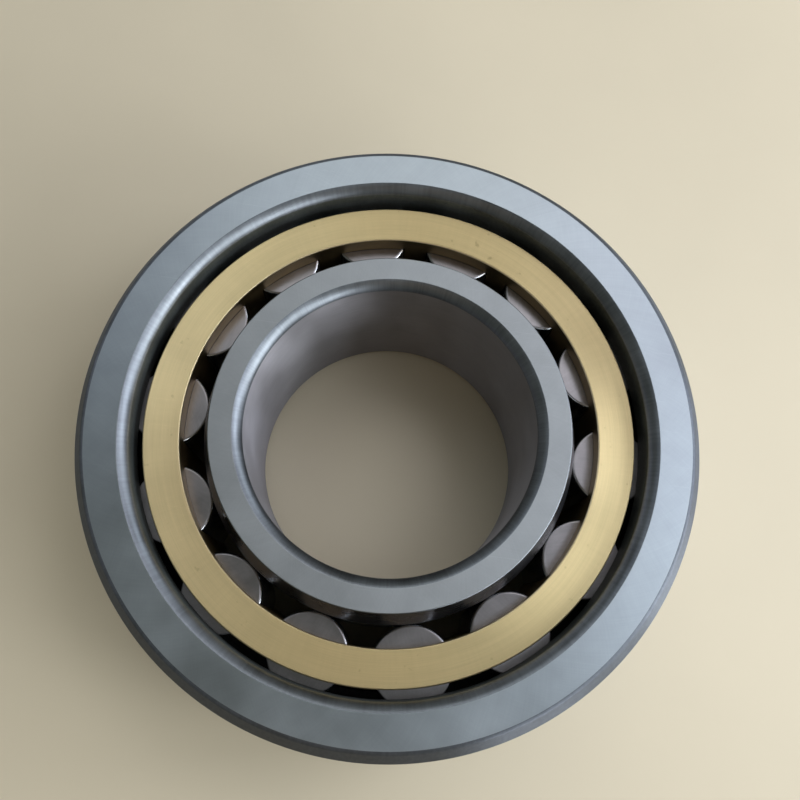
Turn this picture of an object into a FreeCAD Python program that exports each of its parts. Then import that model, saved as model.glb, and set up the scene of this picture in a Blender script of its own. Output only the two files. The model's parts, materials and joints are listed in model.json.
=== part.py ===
"""Cylindrical roller bearing, 80 x 170 x 58 mm, with a riveted two-piece brass cage.

The outer ring has a flange at each side that guides the rollers. The inner ring has none, so it slides
out of the bearing along its axis. Fourteen rollers stand in the bored pockets of the cage. The cage is a
comb of one ring with fourteen bars, closed by a flat cover ring. Each bar ends in a rivet of its own
metal, which passes through the cover and is pressed over on its far side.

Frame: +Z is the axis of the bearing, the origin is the centre of the bore at half its width, and the
first roller stands on +X. Every part is turned or bored, so each is a body made of revolved outlines.
"""
import FreeCAD, Part
import os
import Sketcher

DRIVING_SIZES = (
    ("bore_diameter", 80.0, "shaft seat in the inner ring"),
    ("outside_diameter", 170.0, "housing seat on the outer ring"),
    ("ring_width", 58.0, "width of both rings"),
    ("inner_raceway", 103.0, "diameter that the rollers run on"),
    ("outer_raceway", 147.1, "diameter that the rollers run in, 0.1 more than they fill"),
    ("flange_bore", 140.4, "inside diameter of the outer ring's two flanges"),
    ("roller_diameter", 22.0, ""),
    ("roller_length", 34.0, ""),
    ("roller_end_play", 0.1, "between the two flanges"),
    ("roller_count", 14, ""),
    ("roller_corner", 0.8, "rounding of a roller's ends"),
    ("outside_corner_depth", 2.8, "slope between a face and the outside, measured across the axis"),
    ("outside_corner_length", 4.4, "the same slope measured along the axis"),
    ("outside_corner_blend", 1.5, "rounding of both edges of that slope"),
    ("flange_corner", 2.6, "rounding of the mouth of each flange"),
    ("bore_corner", 2.6, "rounding of the bore's two edges"),
    ("lead_diameter", 98.0, "small end of the taper that leads rollers onto the inner raceway"),
    ("lead_length", 9.4, "of that taper, along the axis"),
    ("lead_edge", 0.4, "rounding where the taper meets the face"),
    ("relief_width", 1.6, "grinding relief in each corner of the outer raceway"),
    ("relief_depth", 0.4, ""),
    ("cage_bore", 115.0, ""),
    ("cage_outside", 135.2, ""),
    ("cage_width", 45.8, "over both side rings"),
    ("cage_ring_thickness", 5.6, "of the comb's ring and of the cover"),
    ("cage_edge", 0.4, "chamfer of the cage's edges"),
    ("pocket_clearance", 0.4, "of a bored pocket over its roller's diameter"),
    ("rivet_diameter", 4.2, ""),
    ("rivet_head_diameter", 6.4, "where the head meets the cover's face"),
    ("rivet_button_diameter", 5.2, "flat top of the pressed head"),
    ("rivet_button_height", 0.5, "of the pressed head over the cover"),
)
FULL_TURN = 360.0
SAME_PLACE = 1e-6
MOST_COMB_LEFT = 0.75
MOST_COVER_LEFT = 0.99

doc = FreeCAD.newDocument("cylindrical_roller_bearing")
sheet = doc.addObject("Spreadsheet::Sheet", "sizes")


class Size:
    """A number together with the expression that gives it from the spreadsheet's cells."""

    def __init__(self, value, text):
        self.value = value
        self.text = text

    def __add__(self, other):
        return Size(self.value + other.value, f"({self.text} + {other.text})")

    def __sub__(self, other):
        return Size(self.value - other.value, f"({self.text} - {other.text})")

    def __neg__(self):
        return Size(-self.value, f"-{self.text}")

    def __truediv__(self, number):
        return Size(self.value / number, f"({self.text} / {number})")


def fill_sheet():
    """Writes one row for each driving size and returns the sizes by name."""
    named = {}
    for row, (alias, value, note) in enumerate(DRIVING_SIZES, start=1):
        sheet.set(f"A{row}", alias)
        sheet.set(f"B{row}", str(value))
        sheet.set(f"C{row}", note)
        sheet.setAlias(f"B{row}", alias)
        named[alias] = Size(float(value), f"sizes.{alias}")
    doc.recompute()
    return named


size = fill_sheet()
axis_line = Size(0.0, "0")

half_width = size["ring_width"] / 2
bore_radius = size["bore_diameter"] / 2
outside_radius = size["outside_diameter"] / 2
face_edge_radius = outside_radius - size["outside_corner_depth"]
seat_half_length = half_width - size["outside_corner_length"]
lead_radius = size["lead_diameter"] / 2
half_inner_raceway = half_width - size["lead_length"]
inner_raceway_radius = size["inner_raceway"] / 2
outer_raceway_radius = size["outer_raceway"] / 2
flange_radius = size["flange_bore"] / 2
pitch_radius = (size["inner_raceway"] + size["outer_raceway"]) / 4
roller_radius = size["roller_diameter"] / 2
half_roller = size["roller_length"] / 2
half_raceway = (size["roller_length"] + size["roller_end_play"]) / 2
relief_inner_edge = half_raceway - size["relief_width"]
relief_radius = outer_raceway_radius + size["relief_depth"]
cage_inner_radius = size["cage_bore"] / 2
cage_outer_radius = size["cage_outside"] / 2
half_cage = size["cage_width"] / 2
bar_end = half_cage - size["cage_ring_thickness"]
pocket_radius = (size["roller_diameter"] + size["pocket_clearance"]) / 2
rivet_radius = size["rivet_diameter"] / 2
head_radius = size["rivet_head_diameter"] / 2
button_radius = size["rivet_button_diameter"] / 2


def origin_feature(body, role):
    """The plane or axis of a body's own origin, such as XZ_Plane or Z_Axis."""
    return next(f for f in body.Origin.OriginFeatures if f.Role == role)


def attached_sketch(body, name, plane):
    sketch = body.newObject("Sketcher::SketchObject", name)
    sketch.AttachmentSupport = [(origin_feature(body, plane), "")]
    sketch.MapMode = "FlatFace"
    return sketch


def pin_point(sketch, line, across, along):
    """Holds a line's start point at two sheet sizes, measured from the sketch's origin."""
    for kind, distance in (("DistanceX", across), ("DistanceY", along)):
        index = sketch.addConstraint(Sketcher.Constraint(kind, -1, 1, line, 1, distance.value))
        name = f"{'across' if kind == 'DistanceX' else 'along'}_{line}"
        sketch.renameConstraint(index, name)
        if distance is not axis_line:
            sketch.setExpression(f"Constraints.{name}", distance.text)


def draw_outline(sketch, corners):
    """A closed outline of straight lines whose corners are (radius, height) pairs of sizes."""
    points = [FreeCAD.Vector(r.value, z.value, 0) for r, z in corners]
    for start, end in zip(points, points[1:] + points[:1]):
        sketch.addGeometry(Part.LineSegment(start, end), False)
    count = len(points)
    for line in range(count):
        sketch.addConstraint(Sketcher.Constraint("Coincident", line, 2, (line + 1) % count, 1))
    for line, (r, z) in enumerate(corners):
        pin_point(sketch, line, r, z)


def revolve(body, kind, name, sketch, axis):
    feature = body.newObject(f"PartDesign::{kind}", name)
    feature.Profile = sketch
    feature.ReferenceAxis = axis
    feature.Angle = FULL_TURN
    doc.recompute()
    return feature


def turned_body(label, corners):
    """A new body revolved about +Z from one outline."""
    body = doc.addObject("PartDesign::Body", label)
    body.Label = label
    sketch = attached_sketch(body, f"{label}_outline", "XZ_Plane")
    draw_outline(sketch, corners)
    revolve(body, "Revolution", f"{label}_turned", sketch, (origin_feature(body, "Z_Axis"), [""]))
    return body


def circular_edges(body, places):
    """Names of the tip's full circles about +Z that lie at the given (radius, height) sizes."""
    names = []
    for number, edge in enumerate(body.Tip.Shape.Edges, start=1):
        if not isinstance(edge.Curve, Part.Circle) or not edge.isClosed():
            continue
        centre = edge.Curve.Center
        if max(abs(centre.x), abs(centre.y)) > SAME_PLACE:
            continue
        for r, z in places:
            if max(abs(edge.Curve.Radius - r.value), abs(centre.z - z.value)) < SAME_PLACE:
                names.append(f"Edge{number}")
    return names


def dress_edges(body, kind, name, places, amount):
    """A Fillet or Chamfer of one size on the circles at the given places."""
    names = circular_edges(body, places)
    assert len(names) == len(places), f"{name}: found {names} for {len(places)} edges"
    base = body.Tip
    feature = body.newObject(f"PartDesign::{kind}", name)
    feature.Base = (base, names)
    cell = "Radius" if kind == "Fillet" else "Size"
    setattr(feature, cell, amount.value)
    feature.setExpression(cell, amount.text)
    body.Tip = feature
    doc.recompute()


def both_sides(radius, height):
    return [(radius, height), (radius, -height)]


def polar_copies(body, name, feature):
    """Repeats a feature once for each roller, evenly about +Z."""
    pattern = body.newObject("PartDesign::PolarPattern", name)
    pattern.Originals = [feature]
    pattern.Axis = (origin_feature(body, "Z_Axis"), [""])
    pattern.Angle = FULL_TURN
    pattern.Occurrences = int(size["roller_count"].value)
    pattern.setExpression("Occurrences", size["roller_count"].text)
    body.Tip = pattern
    doc.recompute()
    return pattern


def make_outer_ring():
    """The stationary ring: a plain cylinder outside, and a raceway between two flanges inside."""
    body = turned_body("outer_ring", [
        (face_edge_radius, -half_width),
        (outside_radius, -seat_half_length),
        (outside_radius, seat_half_length),
        (face_edge_radius, half_width),
        (flange_radius, half_width),
        (flange_radius, half_raceway),
        (relief_radius, half_raceway),
        (relief_radius, relief_inner_edge),
        (outer_raceway_radius, relief_inner_edge),
        (outer_raceway_radius, -relief_inner_edge),
        (relief_radius, -relief_inner_edge),
        (relief_radius, -half_raceway),
        (flange_radius, -half_raceway),
        (flange_radius, -half_width),
    ])
    outside_rims = both_sides(face_edge_radius, half_width) + both_sides(outside_radius, seat_half_length)
    dress_edges(body, "Fillet", "outside_corners", outside_rims, size["outside_corner_blend"])
    flange_rims = both_sides(flange_radius, half_width)
    dress_edges(body, "Fillet", "flange_mouths", flange_rims, size["flange_corner"])
    return body


def make_inner_ring():
    """The ring on the shaft: a sleeve with no flange, tapered so that the rollers lead onto it."""
    body = turned_body("inner_ring", [
        (bore_radius, -half_width),
        (lead_radius, -half_width),
        (inner_raceway_radius, -half_inner_raceway),
        (inner_raceway_radius, half_inner_raceway),
        (lead_radius, half_width),
        (bore_radius, half_width),
    ])
    bore_rims = both_sides(bore_radius, half_width)
    dress_edges(body, "Fillet", "bore_corners", bore_rims, size["bore_corner"])
    lead_rims = both_sides(lead_radius, half_width)
    dress_edges(body, "Fillet", "lead_edges", lead_rims, size["lead_edge"])
    return body


def make_roller(number):
    """One roller, turned about its own axis and then placed on the pitch circle."""
    body = turned_body(f"roller_{number + 1:02d}", [
        (axis_line, -half_roller),
        (roller_radius, -half_roller),
        (roller_radius, half_roller),
        (axis_line, half_roller),
    ])
    rims = both_sides(roller_radius, half_roller)
    dress_edges(body, "Fillet", f"roller_corners_{number + 1:02d}", rims, size["roller_corner"])
    angle = f"{number} * 360deg / sizes.roller_count"
    body.setExpression("Placement.Base.x", f"{pitch_radius.text} * cos({angle})")
    body.setExpression("Placement.Base.y", f"{pitch_radius.text} * sin({angle})")
    return body


def rivet_sketch(body, name):
    """The outline of the rivet at the end of the first bar, with its own axis as a construction line."""
    sketch = attached_sketch(body, name, "XZ_Plane")
    half_pitch = FULL_TURN / size["roller_count"].value / 2
    turned = FreeCAD.Rotation(FreeCAD.Vector(0, 1, 0), half_pitch)
    sketch.AttachmentOffset = FreeCAD.Placement(FreeCAD.Vector(), turned)
    sketch.setExpression("AttachmentOffset.Rotation.Angle", "180deg / sizes.roller_count")
    top = half_cage + size["rivet_button_height"]
    cone_depth = head_radius - rivet_radius
    draw_outline(sketch, [
        (pitch_radius, -top),
        (pitch_radius + button_radius, -top),
        (pitch_radius + head_radius, -half_cage),
        (pitch_radius + rivet_radius, -half_cage + cone_depth),
        (pitch_radius + rivet_radius, -bar_end),
        (pitch_radius, -bar_end),
    ])
    centre_line = Part.LineSegment(
        FreeCAD.Vector(pitch_radius.value, -half_cage.value, 0),
        FreeCAD.Vector(pitch_radius.value, 0, 0),
    )
    line = sketch.addGeometry(centre_line, True)
    sketch.addConstraint(Sketcher.Constraint("Vertical", line))
    pin_point(sketch, line, pitch_radius, -half_cage)
    return sketch


def make_cage_body():
    """The comb: one side ring and fourteen bars, whose bored sides hold the rollers from both sides."""
    body = turned_body("cage_body", [
        (cage_inner_radius, -bar_end),
        (cage_outer_radius, -bar_end),
        (cage_outer_radius, half_cage),
        (cage_inner_radius, half_cage),
    ])
    rims = [(cage_inner_radius, half_cage), (cage_outer_radius, half_cage)]
    dress_edges(body, "Chamfer", "comb_edges", rims, size["cage_edge"])

    blank_volume = body.Shape.Volume
    circle = attached_sketch(body, "pocket_circle", "XY_Plane")
    circle.AttachmentOffset = FreeCAD.Placement(
        FreeCAD.Vector(0, 0, bar_end.value), FreeCAD.Rotation()
    )
    circle.setExpression("AttachmentOffset.Base.z", bar_end.text)
    centre = FreeCAD.Vector(pitch_radius.value, 0, 0)
    circle.addGeometry(Part.Circle(centre, FreeCAD.Vector(0, 0, 1), pocket_radius.value), False)
    circle.addConstraint(Sketcher.Constraint("PointOnObject", 0, 3, -1))
    index = circle.addConstraint(Sketcher.Constraint("DistanceX", -1, 1, 0, 3, pitch_radius.value))
    circle.renameConstraint(index, "pitch")
    circle.setExpression("Constraints.pitch", pitch_radius.text)
    index = circle.addConstraint(Sketcher.Constraint("Radius", 0, pocket_radius.value))
    circle.renameConstraint(index, "bored")
    circle.setExpression("Constraints.bored", pocket_radius.text)
    pocket = body.newObject("PartDesign::Pocket", "pocket")
    pocket.Profile = circle
    bar_length = bar_end + bar_end
    pocket.Length = bar_length.value
    pocket.setExpression("Length", bar_length.text)
    doc.recompute()
    polar_copies(body, "pockets", pocket)
    assert body.Shape.Volume < MOST_COMB_LEFT * blank_volume, "the pockets cut too little from the comb"

    rivet = rivet_sketch(body, "comb_rivet_outline")
    axis = (rivet, ["Axis0"])
    polar_copies(body, "rivets", revolve(body, "Revolution", "rivet", rivet, axis))
    return body


def make_cage_cover():
    """The flat ring that closes the pockets, with a countersunk hole for each bar's rivet."""
    body = turned_body("cage_cover", [
        (cage_inner_radius, -half_cage),
        (cage_outer_radius, -half_cage),
        (cage_outer_radius, -bar_end),
        (cage_inner_radius, -bar_end),
    ])
    rims = [(cage_inner_radius, -half_cage), (cage_outer_radius, -half_cage)]
    dress_edges(body, "Chamfer", "cover_edges", rims, size["cage_edge"])
    blank_volume = body.Shape.Volume
    hole = rivet_sketch(body, "rivet_hole_outline")
    polar_copies(body, "rivet_holes", revolve(body, "Groove", "rivet_hole", hole, (hole, ["Axis0"])))
    assert body.Shape.Volume < MOST_COVER_LEFT * blank_volume, "the rivet holes cut nothing from the cover"
    return body


def check_document():
    """Stops if any object failed to build, because a recompute doesn't raise."""
    for item in doc.Objects:
        if "Invalid" in item.State or "Error" in item.State:
            raise RuntimeError(f"{item.Name} failed: {item.State}")


def write_steps(bodies):
    os.makedirs("parts", exist_ok=True)
    for body in bodies:
        shape = body.Shape
        if shape.isNull() or not shape.isValid() or shape.Volume <= 0:
            raise RuntimeError(f"{body.Label} has no valid solid")
        shape.exportStep(os.path.join("parts", f"{body.Label}.step"))
        print(f"{body.Label}: {shape.Volume / 1000:.2f} cm3, {len(shape.Solids)} solid")


rollers = [make_roller(number) for number in range(int(size["roller_count"].value))]
parts = [make_outer_ring(), make_inner_ring(), make_cage_body(), make_cage_cover()] + rollers
doc.recompute()
check_document()
write_steps(parts)
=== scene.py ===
"""Cylindrical roller bearing, 80 x 170 x 58 mm, with flanged outer ring, plain inner ring and brass cage.

+Z is the axis of the bearing, the origin is the middle of its bore, and every length is in metres. The
sections follow the bearing as it is put together: outer ring, comb of the cage, cover of the cage, rollers,
inner ring. The floor, the light and the camera come last.
"""
import json
import math

import bmesh
import bpy
from mathutils import Matrix, Vector


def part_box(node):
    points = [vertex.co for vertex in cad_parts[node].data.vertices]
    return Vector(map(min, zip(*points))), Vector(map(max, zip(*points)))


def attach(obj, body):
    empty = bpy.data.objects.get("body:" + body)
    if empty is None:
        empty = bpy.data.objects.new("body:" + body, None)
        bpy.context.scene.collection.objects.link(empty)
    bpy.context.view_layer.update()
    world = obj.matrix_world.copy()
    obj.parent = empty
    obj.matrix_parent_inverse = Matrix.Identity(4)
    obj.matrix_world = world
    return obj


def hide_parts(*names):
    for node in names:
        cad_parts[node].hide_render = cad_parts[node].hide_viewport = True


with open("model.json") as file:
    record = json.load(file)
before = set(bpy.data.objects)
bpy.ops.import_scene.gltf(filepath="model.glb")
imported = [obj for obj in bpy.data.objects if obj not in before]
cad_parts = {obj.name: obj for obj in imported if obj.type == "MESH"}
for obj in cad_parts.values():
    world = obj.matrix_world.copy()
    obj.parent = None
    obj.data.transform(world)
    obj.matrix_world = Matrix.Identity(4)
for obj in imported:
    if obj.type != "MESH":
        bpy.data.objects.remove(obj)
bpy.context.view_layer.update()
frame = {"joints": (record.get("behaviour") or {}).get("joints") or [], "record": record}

# ---------------------------------------------------------------------------------------------------------
# Outer ring. Through-hardened chromium steel, turned, then ground on both sides, outside and in the raceway.
# The corners, the two flange bores and the reliefs beside the raceway keep their turned, darker skin. It is
# the ring that stands still, and everything else is guided between its flanges.

RING_STEPS = 288
CORNER_STEPS = 10
EDGE_STEPS = 4
SAME_PLACE = 1e-5

outside_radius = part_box("outer_ring")[1].x
half_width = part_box("outer_ring")[1].z
face_edge_radius = outside_radius - 0.0028
seat_half_length = half_width - 0.0044
face_edge_rounding = 0.00082
seat_edge_rounding = 0.00044
flange_radius = 0.0702
mouth_size = 0.0026
mouth_bulge = 0.0019
half_raceway = 0.01705
raceway_radius = 0.07355
relief_width = 0.0016
relief_depth = 0.0004
edge_break = 0.0001


def mirrored(upper_half):
    """The whole outline of a piece that is the same above and below its middle."""
    return upper_half + [(radius, -height, rounding) for radius, height, rounding in reversed(upper_half)]


def mouth(wall_radius):
    """The flattened rounding between a ring's side and the bore of wall_radius, from the side inwards."""
    near = mouth_size - mouth_bulge
    return [
        (wall_radius + mouth_size, half_width, edge_break),
        (wall_radius + near, half_width - near, mouth_bulge),
        (wall_radius, half_width - mouth_size, edge_break),
    ]


def turned(outline, steps, closed=True):
    """Rounds each corner of a (radius, height, rounding) outline and spins it once about +Z."""
    shape = bmesh.new()
    corners = [shape.verts.new((radius, 0, height)) for radius, height, _ in outline]
    for start, end in zip(corners, corners[1:]):
        shape.edges.new((start, end))
    if closed:
        shape.edges.new((corners[-1], corners[0]))
    for corner, (_, _, rounding) in zip(corners, outline):
        if rounding:
            bmesh.ops.bevel(shape, geom=[corner], offset=rounding, offset_type="OFFSET", affect="VERTICES",
                            segments=CORNER_STEPS if rounding > 2 * edge_break else EDGE_STEPS, profile=0.5,
                            material=-1)
    bmesh.ops.spin(shape, geom=shape.verts[:] + shape.edges[:], cent=(0, 0, 0), axis=(0, 0, 1),
                   angle=math.tau, steps=steps, use_merge=True)
    bmesh.ops.remove_doubles(shape, verts=shape.verts, dist=1e-7)
    bmesh.ops.recalc_face_normals(shape, faces=shape.faces)
    return shape


def piece(name, shape, materials, finish, body):
    for face in shape.faces:
        face.smooth = True
        face.material_index = finish(face)
    for edge in shape.edges:
        edge.smooth = edge.calc_face_angle(0) < math.radians(30)
    mesh = bpy.data.meshes.new(name)
    shape.to_mesh(mesh)
    shape.free()
    for material in materials:
        mesh.materials.append(material)
    made = bpy.data.objects.new(name, mesh)
    bpy.context.scene.collection.objects.link(made)
    even = made.modifiers.new("even_shading", "WEIGHTED_NORMAL")
    even.keep_sharp = True
    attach(made, body)
    return made


def node(tree, kind, settings=None, **inputs):
    """Adds a shader node. Inputs are given by name or as i0, i1..., as a value or another node's output."""
    made = tree.nodes.new(kind)
    for name, value in (settings or {}).items():
        setattr(made, name, value)
    for name, value in inputs.items():
        numbered = name[0] == "i" and name[1:].isdigit()
        socket = made.inputs[int(name[1:]) if numbered else name.replace("_", " ")]
        if isinstance(value, bpy.types.NodeSocket):
            tree.links.new(value, socket)
        else:
            socket.default_value = value
    return made


def maths(tree, operation, first, second):
    return node(tree, "ShaderNodeMath", {"operation": operation}, i0=first, i1=second).outputs[0]


def product(tree, first, *others):
    for other in others:
        first = maths(tree, "MULTIPLY", first, other)
    return first


def total(tree, first, *others):
    for other in others:
        first = maths(tree, "ADD", first, other)
    return first


def noise(tree, place, scale, detail=3.0):
    return node(tree, "ShaderNodeTexNoise", Vector=place, Scale=scale, Detail=detail).outputs[0]


def ranged(tree, value, low, high, start=0.3, end=0.7):
    """Spreads a noise, whose values run about from start to end, over the range from low to high."""
    return node(tree, "ShaderNodeMapRange", Value=value, From_Min=start, From_Max=end, To_Min=low,
                To_Max=high).outputs[0]


def round_places(tree, place):
    """Splits a position into its direction from the axis, its radius and its height."""
    parts = node(tree, "ShaderNodeSeparateXYZ", Vector=place)
    flat = node(tree, "ShaderNodeCombineXYZ", X=parts.outputs["X"], Y=parts.outputs["Y"]).outputs[0]
    direction = node(tree, "ShaderNodeVectorMath", {"operation": "NORMALIZE"}, i0=flat).outputs["Vector"]
    radius = node(tree, "ShaderNodeVectorMath", {"operation": "LENGTH"}, i0=flat).outputs["Value"]
    return direction, radius, parts.outputs["Z"]


def marks(tree, direction, across, per_radian, per_metre, detail=2.0):
    """Tool marks: noise with so many changes per radian around the axis, and per metre across it."""
    around = node(tree, "ShaderNodeVectorMath", {"operation": "SCALE"}, i0=direction, Scale=per_radian)
    rise = node(tree, "ShaderNodeCombineXYZ", Z=maths(tree, "MULTIPLY", across, per_metre))
    place = node(tree, "ShaderNodeVectorMath", {"operation": "ADD"}, i0=around.outputs[0],
                 i1=rise.outputs[0])
    return noise(tree, place.outputs[0], 1.0, detail)


def swept(tree, direction, radius, turns_per_metre):
    """The direction turned further the larger the radius, so that marks drawn from it run in arcs."""
    angle = maths(tree, "MULTIPLY", radius, turns_per_metre * math.tau)
    return node(tree, "ShaderNodeVectorRotate", {"rotation_type": "Z_AXIS"}, Vector=direction,
                Angle=angle).outputs[0]


def scratches(tree, place, angle, amount):
    """A few fine straight handling scratches: 1 on a scratch and 0 elsewhere."""
    turn = node(tree, "ShaderNodeMapping", Vector=place, Rotation=(0, 0, angle), Scale=(40, 2600, 40))
    lines = noise(tree, turn.outputs[0], 1.0, 1.0)
    return ranged(tree, lines, 0, 1, 0.74 - amount, 0.79 - amount)


def metal(name, anisotropy=0.0):
    """A bare metal, with its node tree and shader, whose colour, roughness and bump dress() then feeds."""
    material = bpy.data.materials.new(name)
    material.use_nodes = True
    shader = material.node_tree.nodes["Principled BSDF"]
    shader.inputs["Metallic"].default_value = 1.0
    shader.inputs["Anisotropic"].default_value = anisotropy
    return material, material.node_tree, shader


def dress(tree, shader, colour, tone, roughness, height, depth):
    """Colours the metal by a varying tone and raises its surface by depth metres times the height."""
    tinted = node(tree, "ShaderNodeVectorMath", {"operation": "SCALE"}, i0=colour, Scale=tone)
    tree.links.new(tinted.outputs[0], shader.inputs["Base Color"])
    tree.links.new(roughness, shader.inputs["Roughness"])
    bump = node(tree, "ShaderNodeBump", Height=height, Distance=depth, Strength=1.0)
    tree.links.new(bump.outputs[0], shader.inputs["Normal"])


def upward(tree):
    return node(tree, "ShaderNodeCombineXYZ", Z=1.0).outputs[0]


def across_grooves(tree, shader, direction):
    """Spreads the highlight in the given direction, which is the one across the grooves."""
    across = node(tree, "ShaderNodeVectorTransform", {"vector_type": "VECTOR", "convert_from": "OBJECT",
                  "convert_to": "WORLD"}, Vector=direction)
    tree.links.new(across.outputs[0], shader.inputs["Tangent"])


def object_place(tree):
    return node(tree, "ShaderNodeTexCoord").outputs["Object"]


def side_steel_made(name, colour, rough):
    """Ground side: two crossing sets of faint arcs, soft clouds of handling and a few scratches."""
    material, tree, shader = metal(name)
    place = object_place(tree)
    direction, radius, _ = round_places(tree, place)
    one_way = marks(tree, swept(tree, direction, radius, 1.6), radius, 150, 60, 3.0)
    other_way = marks(tree, swept(tree, direction, radius, -2.2), radius, 230, 80, 3.0)
    fine = marks(tree, swept(tree, direction, radius, 0.9), radius, 700, 240)
    cloud = noise(tree, place, 55, 4.0)
    patch = noise(tree, place, 160, 3.0)
    scratch = scratches(tree, place, 0.7, 0.02)
    tone = product(tree, ranged(tree, cloud, 0.91, 1.09), ranged(tree, one_way, 0.98, 1.02),
                   ranged(tree, other_way, 0.98, 1.02), ranged(tree, patch, 0.97, 1.03))
    tone = total(tree, tone, product(tree, scratch, 0.06))
    roughness = total(tree, ranged(tree, cloud, rough - 0.05, rough + 0.03), product(tree, fine, 0.04))
    relief = total(tree, one_way, other_way, product(tree, fine, 0.7), product(tree, scratch, -1.0))
    dress(tree, shader, colour, tone, roughness, relief, 1.2e-6)
    return material


def corner_steel_made(name, colour, rough, anisotropy=0.3):
    """Turned skin: fine grooves around the ring, darker, with uneven patches left by hardening."""
    material, tree, shader = metal(name, anisotropy)
    place = object_place(tree)
    direction, radius, height = round_places(tree, place)
    along = maths(tree, "SUBTRACT", radius, height)
    groove = marks(tree, direction, along, 6, 2600, 3.0)
    streak = marks(tree, direction, along, 90, 500, 3.0)
    patch = noise(tree, place, 90, 4.0)
    tone = product(tree, ranged(tree, groove, 0.90, 1.10), ranged(tree, streak, 0.90, 1.10),
                   ranged(tree, patch, 0.88, 1.12))
    roughness = total(tree, ranged(tree, patch, rough - 0.04, rough + 0.06), product(tree, groove, 0.06))
    relief = total(tree, groove, product(tree, streak, 0.5))
    dress(tree, shader, colour, tone, roughness, relief, 3e-6)
    across_grooves(tree, shader, upward(tree))
    return material


def raceway_steel_made():
    """Ground and honed track: nearly a mirror, with very fine lines around it and a thin oil film."""
    material, tree, shader = metal("raceway_steel", anisotropy=0.5)
    place = object_place(tree)
    direction, _, height = round_places(tree, place)
    line = marks(tree, direction, height, 4, 5200, 2.0)
    film = noise(tree, place, 120, 3.0)
    tone = product(tree, ranged(tree, line, 0.96, 1.04), ranged(tree, film, 0.92, 1.06))
    dress(tree, shader, (0.43, 0.44, 0.46), tone, ranged(tree, film, 0.14, 0.24), line, 6e-7)
    across_grooves(tree, shader, upward(tree))
    return material


def seat_steel_made(name, colour, rough):
    """Ground seat for the shaft or the housing: satin, with fine lines around it and broad faint stains."""
    material, tree, shader = metal(name, anisotropy=0.88)
    place = object_place(tree)
    direction, _, height = round_places(tree, place)
    line = marks(tree, direction, height, 5, 2800, 3.0)
    stain = marks(tree, direction, height, 3, 30, 4.0)
    patch = noise(tree, place, 130, 4.0)
    tone = product(tree, ranged(tree, line, 0.95, 1.05), ranged(tree, stain, 0.88, 1.10),
                   ranged(tree, patch, 0.95, 1.05))
    dress(tree, shader, colour, tone, ranged(tree, stain, rough - 0.05, rough + 0.05), line, 1.5e-6)
    across_grooves(tree, shader, upward(tree))
    return material


side_steel = side_steel_made("outer_side_steel", (0.30, 0.325, 0.34), 0.35)
mouth_steel = corner_steel_made("mouth_steel", (0.155, 0.165, 0.175), 0.33, 0.5)
corner_steel = corner_steel_made("corner_steel", (0.118, 0.126, 0.140), 0.42, 0.9)
flange_steel = corner_steel_made("flange_steel", (0.105, 0.115, 0.110), 0.50)
raceway_steel = raceway_steel_made()
outside_steel = seat_steel_made("outside_steel", (0.36, 0.38, 0.395), 0.42)


def outer_ring_finish(face):
    middle = face.calc_center_median()
    radius = math.hypot(middle.x, middle.y)
    if abs(middle.z) > half_width - SAME_PLACE:
        return 0
    if radius > outside_radius - SAME_PLACE:
        return 5
    if radius > flange_radius + 2 * mouth_size:
        return 1
    if abs(middle.z) < half_raceway - relief_width:
        return 4
    return 3 if radius < flange_radius + edge_break or abs(middle.z) < half_raceway + edge_break else 2


outer_ring = piece("outer_ring_steel", turned(mirrored([
    (outside_radius, seat_half_length, seat_edge_rounding),
    (face_edge_radius, half_width, face_edge_rounding),
    *mouth(flange_radius),
    (flange_radius, half_raceway, edge_break),
    (raceway_radius + relief_depth, half_raceway, edge_break),
    (raceway_radius + relief_depth, half_raceway - relief_width, edge_break),
    (raceway_radius, half_raceway - relief_width, edge_break),
]), RING_STEPS), [side_steel, corner_steel, mouth_steel, flange_steel, raceway_steel, outside_steel],
    outer_ring_finish, "outer_ring")
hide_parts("outer_ring")

# ---------------------------------------------------------------------------------------------------------
# Comb of the cage. Solid brass, turned to a ring, bored from its open side for the rollers so that fourteen
# bars are left, and turned smooth on the face. A rivet of the bar's own metal stands on the end of each.

cage_low, cage_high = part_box("cage_body")
cage_outer_radius = cage_high.x
cage_inner_radius = 0.0575
half_cage = cage_high.z
bar_end = 0.0173
cage_edge = 0.0005
roller_joints = [j for j in frame["joints"] if j["child"].startswith("roller_")]
pitch_radius = Vector(roller_joints[0]["pos_m"]).length
roller_radius = (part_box("roller_01")[1].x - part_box("roller_01")[0].x) / 2
pocket_radius = roller_radius + 0.0002
pocket_overrun = 0.001
rivet_radius = 0.0021
rivet_head_radius = 0.0032
rivet_button_radius = 0.0026
rivet_button_rounding = 0.0002
rivet_inside_bar = 0.001
RIVET_STEPS = 32
ROLLER_STEPS = 96
rivet_top = -cage_low.z


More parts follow.
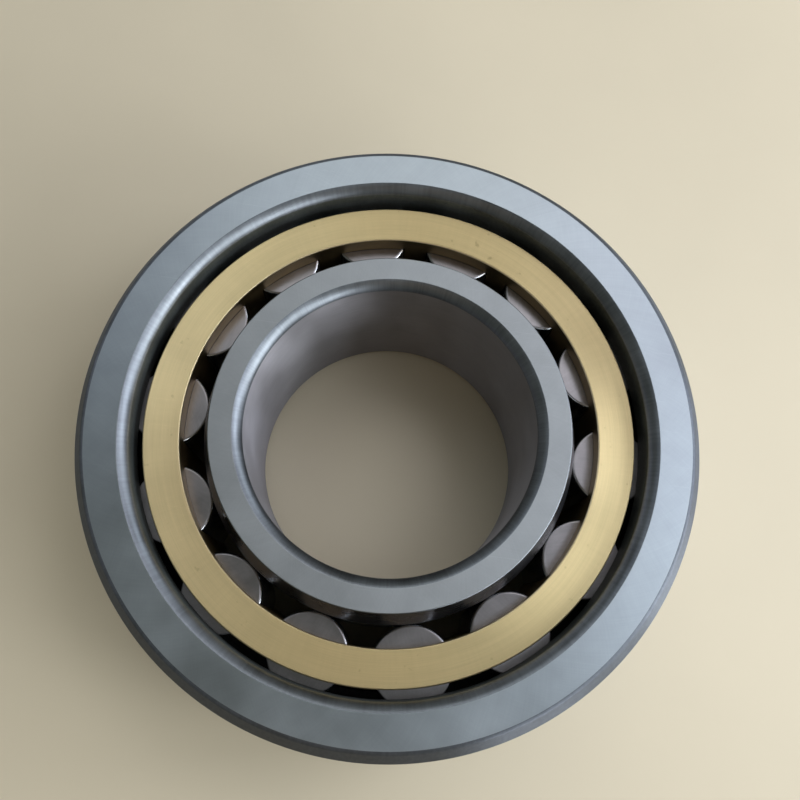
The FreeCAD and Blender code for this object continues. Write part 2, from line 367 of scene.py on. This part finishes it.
def turned_brass_made():
    """Turned face: fine grooves around it, a little chatter across them, small dents and dull spots."""
    material, tree, shader = metal("turned_brass", anisotropy=0.9)
    place = object_place(tree)
    direction, radius, _ = round_places(tree, place)
    groove = marks(tree, direction, radius, 3, 4200, 3.0)
    band = marks(tree, direction, radius, 2, 700, 2.0)
    chatter = marks(tree, direction, radius, 60, 60, 3.0)
    cloud = noise(tree, place, 60, 4.0)
    spot = ranged(tree, noise(tree, place, 420, 2.0), 0, 1, 0.70, 0.76)
    scratch = scratches(tree, place, 2.2, 0.02)
    tone = product(tree, ranged(tree, groove, 0.96, 1.04), ranged(tree, band, 0.97, 1.03),
                   ranged(tree, cloud, 0.94, 1.06), ranged(tree, chatter, 0.985, 1.015))
    tone = total(tree, tone, product(tree, spot, -0.12), product(tree, scratch, 0.05))
    roughness = total(tree, ranged(tree, cloud, 0.42, 0.49), product(tree, spot, 0.10))
    relief = total(tree, groove, product(tree, chatter, 0.4), product(tree, spot, -6.0))
    dress(tree, shader, (0.66, 0.52, 0.275), tone, roughness, relief, 1.2e-6)
    across_grooves(tree, shader, direction)
    return material


def brass_with_painted_shade_made():
    """Bored pockets and bars, seen only through the gaps, and the cage's upright inner and outer walls:
    lines around each pocket's axis, oily and dull, on a brass colour darkened as painted shade for these
    shaded faces.
    """
    material, tree, shader = metal("brass_with_painted_shade")
    place = object_place(tree)
    direction, _, height = round_places(tree, place)
    line = marks(tree, direction, height, 8, 2400, 3.0)
    patch = noise(tree, place, 140, 4.0)
    tone = product(tree, ranged(tree, line, 0.92, 1.08), ranged(tree, patch, 0.85, 1.10))
    # The darkened brass colour below is painted shade on the walls, pockets and bars, not the metal's own
    # tone.
    dress(tree, shader, (0.42, 0.30, 0.145), tone, ranged(tree, patch, 0.30, 0.44), line, 3e-6)
    return material


def brass_edge_painted_highlight_made():
    """Broken edge, filed and then polished smoother by handling: a narrow line whose brighter brass colour
    is a painted highlight of the edge catching the light.
    """
    material, tree, shader = metal("brass_edge_painted_highlight")
    place = object_place(tree)
    direction, radius, _ = round_places(tree, place)
    wear = marks(tree, direction, radius, 40, 200, 4.0)
    fine = noise(tree, place, 900, 2.0)
    tone = product(tree, ranged(tree, wear, 0.93, 1.05), ranged(tree, fine, 0.98, 1.02))
    # The pale cream colour below is a painted highlight; the wear marks only vary its tone and roughness at
    # random.
    dress(tree, shader, (0.86, 0.70, 0.42), tone, ranged(tree, wear, 0.40, 0.32), fine, 4e-7)
    return material


turned_brass = turned_brass_made()
brass_with_painted_shade = brass_with_painted_shade_made()
brass_edge_painted_highlight = brass_edge_painted_highlight_made()


def around(shape, first_angle):
    """Copies of a bmesh at each roller's angle about +Z, as one bmesh."""
    every = bmesh.new()
    for k in range(len(roller_joints)):
        turn = Matrix.Rotation(first_angle + k * math.tau / len(roller_joints), 4, "Z")
        mesh = bpy.data.meshes.new("copy")
        shape.to_mesh(mesh)
        mesh.transform(turn)
        every.from_mesh(mesh)
        bpy.data.meshes.remove(mesh)
    shape.free()
    return every


def object_of(name, shape):
    mesh = bpy.data.meshes.new(name)
    shape.to_mesh(mesh)
    shape.free()
    made = bpy.data.objects.new(name, mesh)
    bpy.context.scene.collection.objects.link(made)
    return made


def combined(shape, tools):
    """Runs boolean operations on a bmesh and returns the result as a bmesh."""
    blank = object_of("blank", shape)
    for operation, tool in tools:
        cut = blank.modifiers.new(operation, "BOOLEAN")
        cut.operation = operation
        cut.object = tool
        cut.solver = "EXACT"
    graph = bpy.context.evaluated_depsgraph_get()
    mesh = bpy.data.meshes.new_from_object(blank.evaluated_get(graph))
    result = bmesh.new()
    result.from_mesh(mesh)
    for used in [blank] + [tool for _, tool in tools]:
        bpy.data.objects.remove(used)
    bpy.data.meshes.remove(mesh)
    return result


pocket = bmesh.new()
bmesh.ops.create_cone(pocket, cap_ends=True, segments=ROLLER_STEPS, radius1=pocket_radius,
                      radius2=pocket_radius, depth=2 * (bar_end + pocket_overrun))
bmesh.ops.translate(pocket, verts=pocket.verts, vec=(pitch_radius, 0, -pocket_overrun))

rivet = turned([
    (0, -rivet_top, 0),
    (rivet_button_radius, -rivet_top, rivet_button_rounding),
    (rivet_head_radius, -half_cage, 0),
    (rivet_radius, -half_cage + rivet_head_radius - rivet_radius, 0),
    (rivet_radius, -bar_end + rivet_inside_bar, 0),
    (0, -bar_end + rivet_inside_bar, 0),
], RIVET_STEPS, closed=False)
bmesh.ops.translate(rivet, verts=rivet.verts, vec=(pitch_radius, 0, 0))
half_pitch = math.pi / len(roller_joints)

comb_blank = turned([
    (cage_outer_radius, -bar_end, edge_break),
    (cage_outer_radius, half_cage, cage_edge),
    (cage_inner_radius, half_cage, cage_edge),
    (cage_inner_radius, -bar_end, edge_break),
], RING_STEPS)
rivets = object_of("rivets", around(rivet.copy(), half_pitch))
comb_shape = combined(comb_blank, [
    ("DIFFERENCE", object_of("pockets", around(pocket, 0))),
    ("UNION", rivets),
])


def comb_finish(face):
    height = face.calc_center_median().z
    if height < -half_cage:
        return 0
    # Upright walls, pockets and the bars below the ring get the brass darkened as painted shade.
    if abs(face.normal.z) < 0.1 or height < bar_end + edge_break:
        return 1
    # Sloped edge faces get the brass lightened as a painted highlight.
    return 2 if abs(face.normal.z) < 0.9 else 0


comb = piece("cage_comb_brass", comb_shape, [turned_brass, brass_with_painted_shade, brass_edge_painted_highlight], comb_finish, "cage")
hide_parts("cage_body")

# ---------------------------------------------------------------------------------------------------------
# Cover of the cage. A flat turned brass ring with a countersunk hole for each rivet, closing the pockets.

cover_blank = turned([
    (cage_outer_radius, -half_cage, cage_edge),
    (cage_outer_radius, -bar_end, edge_break),
    (cage_inner_radius, -bar_end, edge_break),
    (cage_inner_radius, -half_cage, cage_edge),
], RING_STEPS)
cover_shape = combined(cover_blank, [("DIFFERENCE", object_of("rivets", around(rivet, half_pitch)))])


def cover_finish(face):
    # Upright walls and the rivet holes get the brass darkened as painted shade.
    if abs(face.normal.z) < 0.1:
        return 1
    # Sloped edge faces get the brass lightened as a painted highlight.
    return 2 if abs(face.normal.z) < 0.9 else 0


cover = piece("cage_cover_brass", cover_shape, [turned_brass, brass_with_painted_shade, brass_edge_painted_highlight], cover_finish, "cage")
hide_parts("cage_cover")

# ---------------------------------------------------------------------------------------------------------
# Rollers. Chromium steel, ground and superfinished all round, with ground ends and small rounded corners.
# Each carries its own coordinates, so that its marks run around its own axis and differ from its
# neighbours'.

half_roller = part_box("roller_01")[1].z
roller_corner = 0.0008
turn_between = 2.4
shift_between = 0.1


def own_place(tree):
    return node(tree, "ShaderNodeAttribute", {"attribute_name": "own"}).outputs["Vector"]


def roller_end_made():
    """Ground end: matte grey, with arcs of the grinding wheel across it and dry patches in the oil."""
    material, tree, shader = metal("roller_end_steel")
    place = own_place(tree)
    direction, radius, _ = round_places(tree, place)
    stretched = node(tree, "ShaderNodeMapping", Vector=place, Scale=(260, 1500, 40)).outputs[0]
    arc = noise(tree, stretched, 1.0, 3.0)
    ring = marks(tree, direction, radius, 3, 1800, 2.0)
    cloud = noise(tree, place, 190, 4.0)
    tone = product(tree, ranged(tree, arc, 0.95, 1.05), ranged(tree, ring, 0.97, 1.03),
                   ranged(tree, cloud, 0.92, 1.08))
    relief = total(tree, arc, ring)
    dress(tree, shader, (0.240, 0.222, 0.220), tone, ranged(tree, cloud, 0.28, 0.38), relief, 1.6e-6)
    return material


def roller_steel_made():
    """Superfinished cylinder and corners: nearly a mirror under a thin film of oil."""
    material, tree, shader = metal("roller_steel", anisotropy=0.3)
    place = own_place(tree)
    direction, _, height = round_places(tree, place)
    line = marks(tree, direction, height, 3, 4000, 2.0)
    film = noise(tree, place, 150, 3.0)
    tone = product(tree, ranged(tree, line, 0.97, 1.03), ranged(tree, film, 0.93, 1.05))
    dress(tree, shader, (0.44, 0.45, 0.46), tone, ranged(tree, film, 0.16, 0.25), line, 4e-7)
    across_grooves(tree, shader, upward(tree))
    return material


roller_end_steel = roller_end_made()
roller_steel = roller_steel_made()


def roller_finish(face):
    """The end steel runs on over the first part of the rounded corner."""
    return 0 if abs(face.normal.z) > 0.8 else 1


for number, joint in enumerate(roller_joints):
    shape = turned([
        (0, -half_roller, 0),
        (roller_radius, -half_roller, roller_corner),
        (roller_radius, half_roller, roller_corner),
        (0, half_roller, 0),
    ], ROLLER_STEPS, closed=False)
    own = shape.verts.layers.float_vector.new("own")
    for vertex in shape.verts:
        turned_place = Matrix.Rotation(turn_between * number, 3, "Z") @ vertex.co
        vertex[own] = turned_place + Vector((0, 0, shift_between * number))
    bmesh.ops.translate(shape, verts=shape.verts, vec=joint["pos_m"])
    roller = piece(joint["child"] + "_steel", shape, [roller_end_steel, roller_steel], roller_finish,
                   joint["child"])
    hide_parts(joint["child"])

# ---------------------------------------------------------------------------------------------------------
# Inner ring. The same steel as the outer ring, a plain sleeve that is pressed onto the shaft. Its raceway
# ends in a long dark turned taper at each side, over which the rollers are led when it is pushed in.

shaft_bore = next(m for m in frame["record"]["mounts"] if m["name"] == "shaft_bore")
bore_radius = shaft_bore["dims"]["r_mm"] / 1000
track_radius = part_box("inner_ring")[1].x
track_half_length = half_width - 0.0094
lead_radius = 0.049
lead_rounding = 0.0003


bore_steel = seat_steel_made("bore_steel", (0.25, 0.238, 0.245), 0.49)
inner_side_steel = side_steel_made("inner_side_steel", (0.282, 0.290, 0.290), 0.50)
lead_steel = corner_steel_made("lead_steel", (0.16, 0.16, 0.17), 0.24)


def inner_ring_finish(face):
    middle = face.calc_center_median()
    radius = math.hypot(middle.x, middle.y)
    if abs(middle.z) > half_width - SAME_PLACE:
        return 0
    if radius < bore_radius + SAME_PLACE:
        return 4
    if radius > track_radius - SAME_PLACE:
        return 3
    return 2 if radius > lead_radius else 1


inner_ring = piece("inner_ring_steel", turned(mirrored([
    *reversed(mouth(bore_radius)),
    (lead_radius, half_width, lead_rounding),
    (track_radius, track_half_length, lead_rounding),
]), RING_STEPS), [inner_side_steel, mouth_steel, lead_steel, raceway_steel, bore_steel], inner_ring_finish,
    "inner_ring")
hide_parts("inner_ring")

# ---------------------------------------------------------------------------------------------------------
# Floor, light and camera. The bearing lies on a plain pale floor, lit by soft boxes.

half_floor = 20
floor_shape = bmesh.new()
bmesh.ops.create_grid(floor_shape, x_segments=1, y_segments=1, size=half_floor)
bmesh.ops.translate(floor_shape, verts=floor_shape.verts, vec=(0, 0, -half_width))
floor = object_of("floor", floor_shape)
floor_material = bpy.data.materials.new("floor_paint")
floor_material.use_nodes = True
floor_tree = floor_material.node_tree
floor_shader = floor_tree.nodes["Principled BSDF"]
floor_cloud = noise(floor_tree, object_place(floor_tree), 9, 4.0)
floor_tint = node(floor_tree, "ShaderNodeVectorMath", {"operation": "SCALE"}, i0=(0.61, 0.52, 0.37),
                  Scale=ranged(floor_tree, floor_cloud, 0.97, 1.03))
floor_tree.links.new(floor_tint.outputs[0], floor_shader.inputs["Base Color"])
floor_shader.inputs["Roughness"].default_value = 0.6
floor.data.materials.append(floor_material)

world = bpy.data.worlds.new("studio")
bpy.context.scene.world = world
world.use_nodes = True
world.node_tree.nodes["Background"].inputs["Color"].default_value = (0.93, 1.0, 0.90, 1)
world.node_tree.nodes["Background"].inputs["Strength"].default_value = 0.2


def soft_box(name, azimuth, elevation, size, power, colour, distance=1.0):
    """A square soft light at a distance from the bearing, facing it. Azimuth 0 is +X."""
    lamp = bpy.data.lights.new(name, "AREA")
    lamp.size = size
    lamp.energy = power
    lamp.color = colour
    made = bpy.data.objects.new(name, lamp)
    bpy.context.scene.collection.objects.link(made)
    a = math.radians(azimuth)
    e = math.radians(elevation)
    away = Vector((math.cos(a) * math.cos(e), math.sin(a) * math.cos(e), math.sin(e)))
    made.location = away * distance
    made.rotation_euler = away.to_track_quat("Z", "Y").to_euler()


soft_box("window_near", -24, 28, 0.5, 4.2, (0.86, 0.93, 1.0))
soft_box("window_middle", 18, 30, 0.4, 4.4, (0.80, 0.87, 1.0))
soft_box("window_low", -8, 10, 1.0, 34, (0.86, 0.92, 1.0), 2.5)
soft_box("window_end", -50, 12, 1.0, 25, (0.86, 0.92, 1.0), 2.5)
soft_box("window_far", 44, 18, 1.0, 10, (0.80, 0.88, 1.0), 2.5)
soft_box("window_high", 5, 60, 0.38, 1.4, (0.80, 0.88, 1.0))
soft_box("ceiling", -45, 72, 0.4, 0.22, (0.80, 0.88, 1.0))
soft_box("far_right", 48, 56, 0.5, 1.2, (0.81, 0.82, 1.0))
soft_box("far_side", 90, 58, 0.6, 1.7, (0.93, 0.97, 1.0))
soft_box("far_left", 130, 52, 0.6, 0.45, (0.61, 0.73, 1.0))
soft_box("near_side", 270, 50, 0.7, 0.25, (1.0, 0.55, 0.25))

camera = bpy.data.objects.new("camera", bpy.data.cameras.new("camera"))
bpy.context.scene.collection.objects.link(camera)
bpy.context.scene.camera = camera
camera.data.lens = 39.0
camera.data.sensor_width = 36.0
camera.data.shift_x = -0.0006
camera.data.shift_y = 0.0006
camera_place = Vector((0.0024, -0.0557, 0.2547))
camera_aim = Vector((0.0016, 0.0074, half_width))
camera_roll = math.radians(6.98)
camera.location = camera_place
camera.rotation_mode = "QUATERNION"
look = (camera_aim - camera_place).to_track_quat("-Z", "Y")
camera.rotation_quaternion = look @ Matrix.Rotation(camera_roll, 3, "Z").to_quaternion()
camera.data.clip_start = 0.01

bpy.context.scene.view_settings.view_transform = "Standard"
